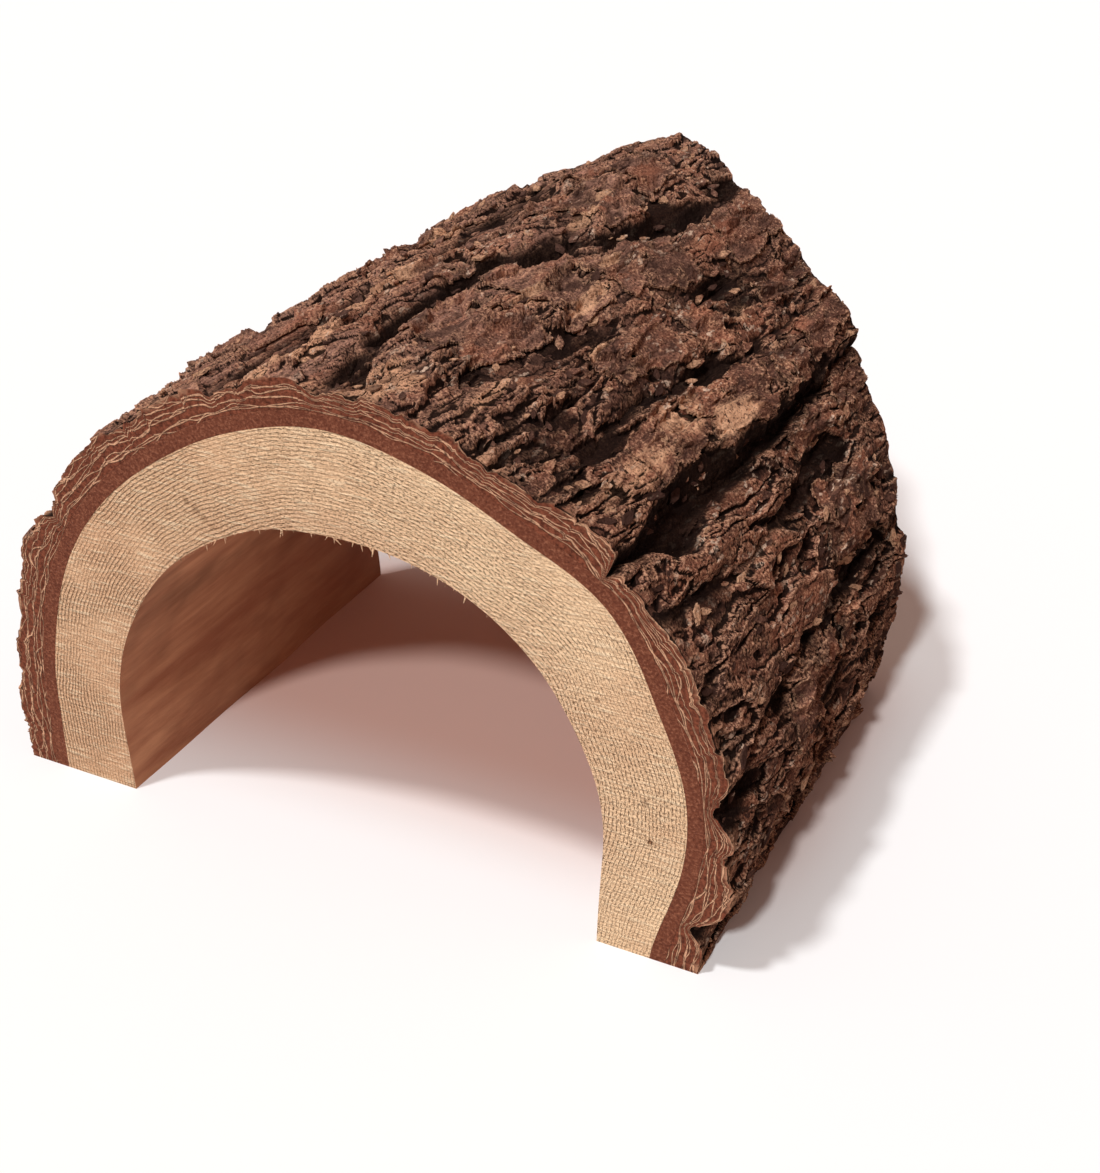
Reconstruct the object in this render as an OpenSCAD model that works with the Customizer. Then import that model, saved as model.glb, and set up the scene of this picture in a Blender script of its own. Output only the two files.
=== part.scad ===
// Corner hide log for a reptile tank: half a natural log, hollowed to an arch, with its bark left on.
// X runs across the log, Y along it away from the entrance, Z up. The origin is on the ground, in the
// middle of the log's own footprint box. The rear end is sawn to a point that fits into a tank corner.

/* [Log] */
// Length from the front saw cut to the point at the rear
log_length = 184; // [150:1:240]
// Angle between the two rear saw cuts, the angle of the tank corner
corner_angle = 90; // [80:1:110]
// Turn of that corner away from square to the log, to the left
corner_turn = 6; // [-8:1:8]
// Offset of the rear point from the middle of the hollow, to the right
tip_offset = -2; // [-10:0.5:10]

// One step of the hand-read strays and places listed below, which grow with the log
stray = 1; // [0.5:0.05:1.5]

/* [Hollow] */
// Mean radius of the arched hollow
hollow_r = 61.5; // [50:0.5:72]
// Height of the straight legs below the arch
leg_h = 21; // [12:0.5:40]

/* [Wood] */
// Mean thickness of the wooden wall
wall = 20; // [14:0.5:28]

/* [Bark] */
// Thickness of the inner bark, the smooth red-brown band next to the wood
inner_bark_t = 3.5; // [2:0.1:6]
// Thickness of the outer bark on a middling ridge, at the front cut
ridge_t = 7.5; // [6:0.1:11]
// Thickness of the outer bark down in a middling furrow
furrow_t = 3; // [2.4:0.1:5]
// Thickness that the ridges on top of the log gain between their chipped ends
ridge_swell = 1.5; // [0:0.1:5]
// Unevenness of the bark surface
roughness = 0.9; // [0:0.1:1.5]
// Open cleft between neighbouring ridges, at the hollow
cleft = 0.6; // [0.3:0.1:1.5]
// Bond line between one layer and the next
bond = 0.05; // [0.02:0.01:0.2]

/* [Scales] */
// Length of one bark scale along its ridge
scale_length = 26; // [16:1:50]
// Step from the lip of one scale down to the next
scale_step = 2.2; // [0:0.1:3]
// Run of that step along the ridge
scale_lip = 1.5; // [0.8:0.1:3]
// Bow of a scale's lip across the ridge
scale_bow = 5; // [0:0.5:8]
// Thickness of a loose flake lying on a scale
flake_t = 1.4; // [0.6:0.1:3]
// Share of the scales that carry a loose flake
flake_share = 0.5; // [0.2:0.05:0.8]
// Seed for the irregular scales
grain_seed = 11; // [1:1:99]

/* [Hidden] */

half_turn = 180;
// Stations round the arch: right foot, every 15 degrees from the right spring to the left one, left foot
arch_step = 15;
last_station = 2 + half_turn / arch_step;
// How far the hand-cut hollow strays from its mean radius at those stations
hollow_stray = [-2.5, -1.5, 0, 0.7, 1.8, 1.9, 1, 0, 0, -0.7, -0.8, -1, -0.4, 0, -0.7];
// How far the wall strays from its mean thickness there
wall_stray = [-8, -3.5, -1, 0, 2.3, -0.4, 1.2, 3.4, 1.3, 0, -0.4, -0.5, -1.7, -1.3, 0];

// Furrows from right to left, as degrees round the arch at the front, two thirds between, and the rear
furrows = [[7, 5, 10, 10], [16, 21, 20, 20], [41, 37, 38, 37], [48, 46, 45, 45], [60, 60, 55, 54],
    [77, 71, 65, 63], [91, 92, 79, 75], [107, 104, 100, 103], [125, 122, 126, 124],
    [146, 149, 145, 148], [167, 163, 166, 168]];
// How much thicker than a middling furrow the bark is in each of them, with the ground at both ends
furrow_stray = [4, 0.5, -1, 0, -1.4, 1, 1.5, -1, 1, 2, -0.5, 0.5, 2.5];
// Share of the way from its lower neighbour's height down to that floor by which each of them is open
furrow_open = [0.5, 0.45, 0.6, 0.35, 0.95, 0.45, 0.3, 0.55, 0.35, 0.4, 0.4, 0.5, 0.5];
// How much thicker than a middling ridge each ridge is, from the right foot to the left
ridge_stray = [0, -0.5, -0.5, -2.5, 1, -1, -1.5, -1.3, -0.3, -0.3, 1, 0.5];
ridge_count = len(ridge_stray);
// Pockets where the bark has fallen out: distance from the front, degrees, half length, half width, depth
pockets = [[70, 91.5, 11, 3.2, 5], [86, 87, 12, 3.2, 5], [106, 81, 7, 3, 4], [121, 78.5, 10, 3.6, 5],
    [158, 77.5, 10, 3.4, 4], [74, 57.3, 8, 3, 4.5], [108, 66, 11, 2.4, 3.5], [32, 47.5, 20, 4.2, 5],
    [75, 45.5, 22, 2.2, 3.5], [112, 29, 9, 2.2, 3], [78, 22, 9, 3.2, 4], [9, 14.5, 11, 2.4, 3],
    [71, 5.3, 10, 2.4, 3], [40, 92, 16, 1.8, 3], [142, 105, 13, 2, 3]];
// Thinnest bark that is left at the bottom of a pocket
pocket_floor_t = 1.5;

foot_deg = leg_h / (hollow_r * PI / half_turn);
outline_steps = 72;
across = 12;
rows_per_scale = 5;
plan_margin = 5;
// Share of a scale's length by which its ends stray, and the part of a bow that lies behind its row
scale_jitter = 0.6;
bow_balance = 0.3;
// Power that squares off a ridge's section
ridge_squareness = 5;
// Most columns that a flake's torn edges leave bare on the right and on the left of its scale
flake_inset = [4, 3];
// Share of its thickness that a flake has at its thinnest
flake_taper = 0.4;
// Strides that give each ridge, scale and use its own irregular number
seed_stride = [1000, 37, 211];
// Grid on which the unevenness of the bark changes, along and across a ridge
uneven_grid = [400, 40];
// First of the uses of irregular numbers for the unevenness, and for a flake's torn edges and thickness
uneven_use = 20;
torn_use = 80;
right_cut = 90 - corner_angle / 2 - corner_turn;
left_cut = 90 - corner_angle / 2 + corner_turn;

// Smooth curve through a list of evenly spaced values, at position u
function curve(p, u) =
    let (n = len(p) - 1, i = min(n - 1, floor(u)), f = u - i,
         a = p[max(i - 1, 0)], b = p[i], c = p[i + 1], d = p[min(i + 2, n)])
    b + f * ((c - a) / 2 + f * (a - 2.5 * b + 2 * c - d / 2 + f * (1.5 * (b - c) + (d - a) / 2)));

function station(t) =
    t < 0 ? 1 + t / foot_deg
    : t > half_turn ? last_station - 1 + (t - half_turn) / foot_deg : 1 + t / arch_step;

// Radii of the layers at t degrees, where t runs past 0 and 180 down the straight legs
function hollow_at(t) = hollow_r + stray * curve(hollow_stray, station(t));
function wood_at(t) = hollow_at(t) + wall + stray * curve(wall_stray, station(t));
function inner_bark_at(t) = wood_at(t) + inner_bark_t;

// Point of the cross-section at t degrees and radius r
function place(t, r) =
    t < 0 ? [r, leg_h * (1 + t / foot_deg)]
    : t > half_turn ? [-r, leg_h * (1 - (t - half_turn) / foot_deg)]
    : [r * cos(t), leg_h + r * sin(t)];

// Length of the log from the front to the rear cuts at a distance x from the middle of the hollow
function cut_at(x) =
    log_length - (x > tip_offset ? (x - tip_offset) * tan(right_cut) : (tip_offset - x) * tan(left_cut));

// One irregular number from 0 to 1 for a ridge, a scale and a use
function chance(k, i, use) = rands(0, 1, 1, grain_seed + seed_stride * [k, i, use])[0];

function furrow_at(k, s) =
    k < 0 ? -foot_deg : k > len(furrows) - 1 ? half_turn + foot_deg
    : curve(furrows[k], (len(furrows[k]) - 1) * s);

function cleft_deg(k) = k < 0 || k > len(furrows) - 1 ? 0 : cleft / 2 / (hollow_r * PI / half_turn);

// Degrees across ridge k at share v of its width and share s of its length
function ridge_deg(k, s, v) =
    let (low = furrow_at(k - 1, s) + cleft_deg(k - 1), high = furrow_at(k, s) - cleft_deg(k))
    low + v * (high - low);

function ridge_length(k) = let (t = ridge_deg(k, 0.5, 0.5)) cut_at(place(t, inner_bark_at(t))[0]);
function scale_count(k) = max(3, round(ridge_length(k) / scale_length));

// Ends of the scales along ridge k as shares of its length
function scale_end(k, i) =
    let (n = scale_count(k)) i == 0 ? 0 : i == n ? 1 : (i + scale_jitter * (chance(k, i, 1) - 0.5)) / n;

// Rows of points along ridge k: [share of the length, rise of the scale there]
function ridge_rows(k) =
    let (n = scale_count(k), lip = scale_lip / ridge_length(k), last = rows_per_scale - 1)
    [for (i = [0:n - 1])
        let (from = scale_end(k, i), to = scale_end(k, i + 1) - (i < n - 1 ? lip : 0),
             tilt = chance(k, i, 2) < 0.5 ? -1 : 1, level = chance(k, i, 3) - 0.5)
        for (j = [0:last]) [from + (to - from) * j / last, scale_step * (tilt * (j / last - 0.5) + level)]];

// Steep-sided, flat-topped ridge section
function section(v) = 1 - pow(abs(2 * v - 1), ridge_squareness);
function share_across(c) = (1 - cos(half_turn * c / across)) / 2;

// Thickness of the bark in furrow k, and between the furrows on both sides of ridge k
function furrow_thickness(k) =
    let (closed = ridge_t + stray * min(ridge_stray[max(k - 1, 0)], ridge_stray[min(k, ridge_count - 1)]),
         opened = furrow_t + stray * furrow_stray[k])
    closed + furrow_open[k] * (opened - closed);
function furrow_floor(k, v) = furrow_thickness(k) + v * (furrow_thickness(k + 1) - furrow_thickness(k));
function swell_at(t, s) = ridge_swell * max(0, sin(t)) * sin(half_turn * s);
function uneven_at(k, s, v) =
    roughness * (2 * chance(k, round(uneven_grid[0] * s), uneven_use + round(uneven_grid[1] * v)) - 1);

// Depth of the pockets together at t degrees and a distance y from the front
function total(list, i = 0) = i < len(list) ? list[i] + total(list, i + 1) : 0;
function pocket_at(t, y) =
    total([for (p = pockets)
        let (beside = (t - p[1]) * PI / half_turn * inner_bark_at(p[1]) / (stray * p[3]),
             beyond = (y - stray * p[0]) / (stray * p[2]))
        stray * p[4] * exp(-beside * beside - beyond * beyond)]);

function ridge_height(k, s, v, rise) =
    let (low = furrow_floor(k, v), along = bowed(k, s, v), t = ridge_deg(k, along, v),
         top = ridge_t + stray * ridge_stray[k] + swell_at(t, s) + rise + uneven_at(k, s, v),
         y = along * cut_at(place(t, inner_bark_at(t))[0]))
    max(low + section(v) * (max(top, low) - low) - pocket_at(t, y), pocket_floor_t);

// Share of the length at a point of a row, with the lip's bow, which fades out at both cuts
function bowed(k, s, v) =
    s + scale_bow / ridge_length(k) * 4 * s * (1 - s) * (pow(2 * v - 1, 2) - bow_balance)
    * (chance(k, 0, 4) < 0.5 ? -1 : 1);

// Point of ridge k at shares s and v, a height above the inner bark
function ridge_point(k, s, v, height) =
    let (along = bowed(k, s, v), t = ridge_deg(k, along, v),
         p = place(t, inner_bark_at(t) + bond + height))
    [p[0], along * cut_at(p[0]), p[1]];

// Rows of points on the top of ridge k, or of a layer lying on it
function ridge_top(k, rows, extra = function(s, c) 0) =
    [for (row = rows) [for (c = [0:across])
        let (v = share_across(c))
        ridge_point(k, row[0], v, ridge_height(k, row[0], v, row[1]) + extra(row[0], c))]];
function ridge_base(k, rows) =
    [for (row = rows) [for (c = [0:across]) ridge_point(k, row[0], share_across(c), 0)]];

// Scales of ridge k that carry a loose flake, their rows, and the flake's thickness along and across
function flaked(k) = [for (i = [1:scale_count(k) - 1]) if (chance(k, i, 5) < flake_share) i];
function flake_rows(k, i) =
    let (rows = ridge_rows(k)) [for (j = [0:rows_per_scale - 1]) rows[rows_per_scale * i + j]];
function flake_thickness(k, s, c) =
    flake_t * (flake_taper + (2 - 2 * flake_taper) * chance(k, round(uneven_grid[0] * s), torn_use + c));

// First and last column of the cells that a torn flake covers, one pair for each row of cells
function flake_bands(k, i) =
    [for (j = [0:rows_per_scale - 2])
        let (use = rows_per_scale * i + j, right = chance(k, use, torn_use - 1), left = chance(k, use, torn_use - 2))
        [1 + round(flake_inset[0] * right), across - 1 - round(flake_inset[1] * left)]];
function whole_bands(rows) = [for (r = [0:len(rows) - 2]) [0, across]];

ridges = [for (k = [0:ridge_count - 1]) ridge_top(k, ridge_rows(k))];
flakes = [for (k = [0:ridge_count - 1]) [for (i = flaked(k))
    ridge_top(k, flake_rows(k, i), function(s, c) flake_thickness(k, s, c))]];

// Middle of the footprint, from the outermost points of the bark
reach = [for (ridge = ridges) for (row = ridge) for (p = row) p[0],
    for (group = flakes) for (flake = group) for (row = flake) for (p = row) p[0]];
middle_x = (min(reach) + max(reach)) / 2;
plan_half = max(-min(reach), max(reach)) + plan_margin;
stock_h = leg_h + hollow_r + 2 * wall + inner_bark_t;

module in_frame() translate([-middle_x, -log_length / 2, 0]) children();

// Cross-section between two outlines, given as lists of radii round the arch
module layer(inside, outside) {
    span = half_turn + 2 * foot_deg;
    turns = [for (i = [0:outline_steps]) -foot_deg + span * i / outline_steps];
    back = [for (i = [outline_steps:-1:0]) i];
    polygon(concat([for (i = [0:outline_steps]) place(turns[i], outside(turns[i]))],
        [for (i = back) place(turns[i], inside(turns[i]))]));
}

// Log stock of that cross-section, sawn square in front and to the tank corner at the rear
module sawn_stock(inside, outside) {
    in_frame() intersection() {
        translate([0, log_length, 0]) rotate([90, 0, 0]) linear_extrude(log_length) layer(inside, outside);
        linear_extrude(stock_h) polygon([[-plan_half, 0], [plan_half, 0], [plan_half, cut_at(plan_half)],
            [tip_offset, log_length], [-plan_half, cut_at(-plan_half)]]);
    }
}

// Closed slab between two grids of points with the same rows and columns. It covers the cells between
// the first and the last column of each row's band, and has a wall wherever the next cell is bare.
module slab(top, base, bands) {
    cols = len(top[0]);
    count = len(top) * cols;
    function at(r, c) = r * cols + c;
    function quad(a, b, c, d) = [[a, b, c], [a, c, d]];
    function wall_quad(a, b) = quad(a, count + a, count + b, b);
    function bare(r, c) = r < 0 || r >= len(bands) ? true : c < bands[r][0] || c >= bands[r][1];
    faces = [for (r = [0:len(bands) - 1]) for (c = [bands[r][0]:bands[r][1] - 1])
        let (a = at(r, c), b = at(r, c + 1), d = at(r + 1, c + 1), e = at(r + 1, c))
        each [each quad(a, b, d, e), each quad(count + a, count + e, count + d, count + b),
            if (bare(r - 1, c)) each wall_quad(a, b), if (bare(r + 1, c)) each wall_quad(d, e),
            if (bare(r, c - 1)) each wall_quad(e, a), if (bare(r, c + 1)) each wall_quad(b, d)]];
    polyhedron([for (grid = [top, base]) for (row = grid) for (p = row) p], faces);
}

module ridge(k) let (rows = ridge_rows(k)) in_frame() slab(ridges[k], ridge_base(k, rows), whole_bands(rows));

// Loose flakes of a run of ridges, each lying face to face on its scale, with torn edges
module flake_group(first, last) {
    in_frame() for (k = [first:last]) let (marked = flaked(k)) for (n = [0:1:len(marked) - 1])
        slab(flakes[k][n], ridge_top(k, flake_rows(k, marked[n])), flake_bands(k, marked[n]));
}

module wood_arch() color("#dcb88c") sawn_stock(function(t) hollow_at(t), function(t) wood_at(t));
module inner_bark() color("#7d4436") sawn_stock(function(t) wood_at(t) + bond, function(t) inner_bark_at(t));
module right_foot_bark() color("#4f382f") ridge(0);
module right_wall_bark() color("#543b31") ridge(1);
module right_flank_bark() color("#5c4135") ridge(2);
module right_cleft_bark() color("#493229") ridge(3);
module right_shoulder_bark() color("#684a3b") ridge(4);
module right_upper_bark() color("#5f4538") ridge(5);
module crown_right_bark() color("#654a3c") ridge(6);
module crown_left_bark() color("#6b4d3d") ridge(7);
module left_upper_bark() color("#604638") ridge(8);
module left_shoulder_bark() color("#583f34") ridge(9);
module left_wall_bark() color("#523a30") ridge(10);
module left_foot_bark() color("#4c362d") ridge(11);
module right_side_flakes() color("#7a5743") flake_group(0, 2);
module right_top_flakes() color("#96704f") flake_group(3, 5);
module crown_flakes() color("#a57c58") flake_group(6, 8);
module left_side_flakes() color("#76564a") flake_group(9, 11);

wood_arch();
inner_bark();
right_foot_bark();
right_wall_bark();
right_flank_bark();
right_cleft_bark();
right_shoulder_bark();
right_upper_bark();
crown_right_bark();
crown_left_bark();
left_upper_bark();
left_shoulder_bark();
left_wall_bark();
left_foot_bark();
right_side_flakes();
right_top_flakes();
crown_flakes();
left_side_flakes();
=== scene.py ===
# Corner hide log for a reptile tank: half a natural log, hollowed to an arch, with its bark left on.
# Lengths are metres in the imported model's own frame: X across, Y away from the entrance, Z up.
import math

import bmesh
import bpy
import numpy as np
from mathutils import Euler, Matrix, Vector


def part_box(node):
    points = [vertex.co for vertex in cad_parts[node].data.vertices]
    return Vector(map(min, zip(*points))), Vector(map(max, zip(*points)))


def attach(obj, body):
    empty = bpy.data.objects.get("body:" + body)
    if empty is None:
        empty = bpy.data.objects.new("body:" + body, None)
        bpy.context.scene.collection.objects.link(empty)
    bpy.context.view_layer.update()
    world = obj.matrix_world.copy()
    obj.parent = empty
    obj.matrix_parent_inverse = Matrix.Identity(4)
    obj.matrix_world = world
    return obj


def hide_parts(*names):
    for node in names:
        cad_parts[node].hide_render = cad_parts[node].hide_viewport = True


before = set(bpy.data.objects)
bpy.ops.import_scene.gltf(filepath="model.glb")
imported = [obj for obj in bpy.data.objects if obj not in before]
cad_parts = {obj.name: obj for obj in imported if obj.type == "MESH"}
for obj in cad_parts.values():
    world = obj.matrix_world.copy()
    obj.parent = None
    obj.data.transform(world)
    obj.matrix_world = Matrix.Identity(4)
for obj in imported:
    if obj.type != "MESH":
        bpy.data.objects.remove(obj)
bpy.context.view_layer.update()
scene = bpy.context.scene
scene.view_settings.view_transform = "Standard"


# View. The log is looked at from above and from the right of its entrance, at arm's length,
# so that the sawn front, the hollow, and the bark on the crown and the right side all show.
view_pitch = 30.63
view_turn = 26.55
view_roll = -0.43
view_lens = bpy.data.cameras.new("view_camera")
view_lens.sensor_width = 36
view_lens.lens = 53.26
view_lens.clip_start = 0.01
view_camera = bpy.data.objects.new("view_camera", view_lens)
view_camera.location = (0.1750, -0.3420, 0.2491)
upright_view = Euler((math.radians(90 - view_pitch), 0, math.radians(view_turn))).to_matrix()
view_camera.rotation_euler = (upright_view @ Matrix.Rotation(math.radians(view_roll), 3, "Z")).to_euler()
scene.collection.objects.link(view_camera)
scene.camera = view_camera


# Sapwood arch. Half a log of pale softwood is sawn across in front, hollowed by hand to an arch with
# short straight legs, and sawn to a point at the rear, where it goes into the corner of a tank.
log_length = 0.184
corner_angle = 90
corner_turn = 6
tip_offset = -0.002
hollow_radius = 0.0615
leg_height = 0.021
wood_wall = 0.020
arch_step = 15
millimetre = 0.001
carving_depth = 0.4 * millimetre
torn_from = 55
torn_to = 132
hollow_stray = (-2.5, -1.5, 0, 0.7, 1.8, 1.9, 1, 0, 0, -0.7, -0.8, -1, -0.4, 0, -0.7)
wall_stray = (-8, -3.5, -1, 0, 2.3, -0.4, 1.2, 3.4, 1.3, 0, -0.4, -0.5, -1.7, -1.3, 0)
right_slope = math.tan(math.radians(90 - corner_angle / 2 - corner_turn))
left_slope = math.tan(math.radians(90 - corner_angle / 2 + corner_turn))
foot_turn = math.degrees(leg_height / hollow_radius)


def curve_through(values, position):
    """Smooth curve through evenly spaced values."""
    values = np.asarray(values, float)
    last = len(values) - 1
    index = np.clip(np.floor(position).astype(int), 0, last - 1)
    f = position - index
    a = values[np.maximum(index - 1, 0)]
    b = values[index]
    c = values[index + 1]
    d = values[np.minimum(index + 2, last)]
    return b + f * ((c - a) / 2 + f * (a - 2.5 * b + 2 * c - d / 2 + f * (1.5 * (b - c) + (d - a) / 2)))


def down_the_leg(turn):
    """Share of a leg's height below the arch, for turns in degrees before 0 and past 180."""
    return (np.minimum(turn, 0) + np.minimum(180 - turn, 0)) / foot_turn


def arch_station(turn):
    """Place of a turn in the lists of strays, which start and end on the ground."""
    return 1 + np.clip(turn, 0, 180) / arch_step + np.where(turn < 90, 1, -1) * down_the_leg(turn)


def hollow_at(turn):
    """Radius of the carved hollow."""
    return hollow_radius + millimetre * curve_through(hollow_stray, arch_station(turn))


def wood_at(turn):
    """Radius of the wood's outer face."""
    return hollow_at(turn) + wood_wall + millimetre * curve_through(wall_stray, arch_station(turn))


def cross_section(turn, radius):
    """Sideways place, from the middle of the hollow, and height of a point of the log's section."""
    angle = np.radians(np.clip(turn, 0, 180))
    return radius * np.cos(angle), leg_height * (1 + down_the_leg(turn)) + radius * np.sin(angle)


def cut_length(x):
    """Length of the log between the front and the rear cuts."""
    beside = x - tip_offset
    return log_length - np.where(beside > 0, beside * right_slope, -beside * left_slope)


arch_turns = np.linspace(-foot_turn, 180 + foot_turn, 300)
middle_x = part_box("wood_arch")[0][0] - cross_section(arch_turns, wood_at(arch_turns))[0].min()


def log_points(turn, radius, share):
    """Points in the frame, at a share of the length between the saw cuts."""
    x, z = cross_section(turn, radius)
    y = share * cut_length(x)
    return np.stack([x + middle_x, y - log_length / 2, z], axis=-1)


def strip(first, second):
    """Row of four-sided faces between two lines of points."""
    return np.stack([first[:-1], first[1:], second[1:], second[:-1]], axis=-1)


def layer_mesh(name, outer, inner):
    """Closed layer between two grids of points. Its sawn front and rear take the second material."""
    rows, cols = outer.shape[:2]
    top = np.arange(rows * cols).reshape(rows, cols)
    base = top + rows * cols
    faces = [strip(top[r], top[r + 1])[:, ::-1] for r in range(rows - 1)]
    faces += [strip(base[r], base[r + 1]) for r in range(rows - 1)]
    faces += [strip(top[::-1, 0], base[::-1, 0]), strip(top[:, -1], base[:, -1])]
    sawn = [strip(top[0], base[0]), strip(top[-1, ::-1], base[-1, ::-1])]
    points = np.concatenate([outer.reshape(-1, 3), inner.reshape(-1, 3)])
    mesh = bpy.data.meshes.new(name)
    mesh.from_pydata(points.tolist(), [], np.concatenate(faces + sawn).tolist())
    kinds = np.zeros(len(mesh.polygons), dtype=np.int32)
    kinds[-2 * (cols - 1):] = 1
    mesh.polygons.foreach_set("material_index", kinds)
    return mesh


def give(mesh, name, values):
    """Stores a number or a vector on every point of a mesh."""
    values = np.asarray(values, np.float32)
    kind, field = ("FLOAT_VECTOR", "vector") if values.ndim > 1 else ("FLOAT", "value")
    mesh.attributes.new(name, kind, "POINT").data.foreach_set(field, values.ravel())


def add_node(tree, kind, inputs=(), **settings):
    """Adds a node, sets its properties, and links or sets its inputs by name or number."""
    made = tree.nodes.new(kind)
    for key, value in settings.items():
        setattr(made, key, value)
    for key, value in dict(inputs).items():
        if isinstance(value, bpy.types.NodeSocket):
            tree.links.new(value, made.inputs[key])
        else:
            made.inputs[key].default_value = value
    return made


def output_of(tree, kind, inputs=(), **settings):
    """First output of a new node."""
    return add_node(tree, kind, inputs, **settings).outputs[0]


def number_of(tree, operation, *values):
    """Result of a Math node."""
    return output_of(tree, "ShaderNodeMath", dict(enumerate(values)), operation=operation)


def times(tree, first, second):
    """Product of two numbers."""
    return number_of(tree, "MULTIPLY", first, second)


def times_plus(tree, first, second, third):
    """Product of two numbers, with a third added to it."""
    return number_of(tree, "MULTIPLY_ADD", first, second, third)


def vector_of(tree, operation, first, second):
    """Result of a Vector Math node."""
    key = "Scale" if operation == "SCALE" else 1
    made = add_node(tree, "ShaderNodeVectorMath", {0: first, key: second}, operation=operation)
    return made.outputs["Value" if operation in ("DOT_PRODUCT", "DISTANCE") else "Vector"]


def ramp(tree, value, low, high):
    """0 at low, 1 at high, and smooth between."""
    inputs = {0: value, 1: low, 2: high}
    return output_of(tree, "ShaderNodeMapRange", inputs, interpolation_type="SMOOTHSTEP")


def noise(tree, place, scale, detail=4.0, roughness=0.6):
    """Noise from 0 to 1 with the same grain size each way."""
    inputs = {"Vector": place, "Scale": scale, "Detail": detail, "Roughness": roughness}
    return output_of(tree, "ShaderNodeTexNoise", inputs)


def noise_vector(tree, place, scale, roughness=0.5):
    """Vector round zero from coarse noise."""
    inputs = {"Vector": place, "Scale": scale, "Detail": 2.0, "Roughness": roughness}
    made = add_node(tree, "ShaderNodeTexNoise", inputs)
    return vector_of(tree, "SUBTRACT", made.outputs["Color"], (0.5, 0.5, 0.5))


def mixed(tree, share, first, second):
    """Mix of two colours."""
    return add_node(tree, "ShaderNodeMix", {0: share, 6: first, 7: second}, data_type="RGBA").outputs[2]


def laid_over(tree, colour, mask, strength, over):
    """Colour with another laid over it where a mask shows, at a strength."""
    return mixed(tree, times(tree, mask, strength), colour, over)


def stored(tree, name):
    """Number kept on the mesh under a name."""
    return add_node(tree, "ShaderNodeAttribute", attribute_name=name).outputs["Fac"]


def place_times(tree, scale=(1, 1, 1)):
    """Place on the object, stretched along each axis."""
    return vector_of(tree, "MULTIPLY", add_node(tree, "ShaderNodeTexCoord").outputs["Object"], scale)


def coordinate(tree, place, number):
    """One of the three numbers of a place."""
    return add_node(tree, "ShaderNodeSeparateXYZ", {0: place}).outputs[number]


def new_material(name, roughness):
    """Dull material, with its node tree and its shader."""
    made = bpy.data.materials.new(name)
    made.use_nodes = True
    shader = made.node_tree.nodes["Principled BSDF"]
    shader.inputs["Roughness"].default_value = roughness
    shader.inputs["Specular IOR Level"].default_value = 0.12
    return made, made.node_tree, shader


def dress(tree, shader, colour, height, depth):
    """Gives a shader its colour and a bump of a depth in metres."""
    tree.links.new(colour, shader.inputs["Base Color"])
    bump = add_node(tree, "ShaderNodeBump", {"Height": height, "Distance": depth})
    tree.links.new(bump.outputs[0], shader.inputs["Normal"])


def new_group(name, kind, inputs, outputs):
    """Node group with vectors or numbers as named inputs, and numbers as outputs."""
    tree = bpy.data.node_groups.new(name, kind)
    for label, socket in inputs.items():
        tree.interface.new_socket(label, in_out="INPUT", socket_type="NodeSocket" + socket)
    for label in outputs:
        tree.interface.new_socket(label, in_out="OUTPUT", socket_type="NodeSocketFloat")
    return tree, add_node(tree, "NodeGroupInput").outputs


def fibre_group():
    """Streaks of wood or bark fibre on a stretched place: a mask with some contrast, and a height."""
    tree, given = new_group("fibre_streaks", "ShaderNodeTree",
                            {"Place": "Vector", "Scale": "Float", "Contrast": "Float"}, ("Mask", "Height"))
    streaks = noise(tree, given["Place"], given["Scale"], 6.0, 0.65)
    mask = times_plus(tree, number_of(tree, "SUBTRACT", streaks, 0.5), given["Contrast"], 0.5)
    mask.node.use_clamp = True
    add_node(tree, "NodeGroupOutput", {"Mask": mask, "Height": streaks})
    return tree


fibre_streaks = fibre_group()


def fibres(tree, place, scale, contrast):
    """Mask and height of fibre streaks."""
    inputs = {"Place": place, "Scale": scale, "Contrast": contrast}
    made = add_node(tree, "ShaderNodeGroup", inputs, node_tree=fibre_streaks).outputs
    return made["Mask"], made["Height"]


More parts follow.
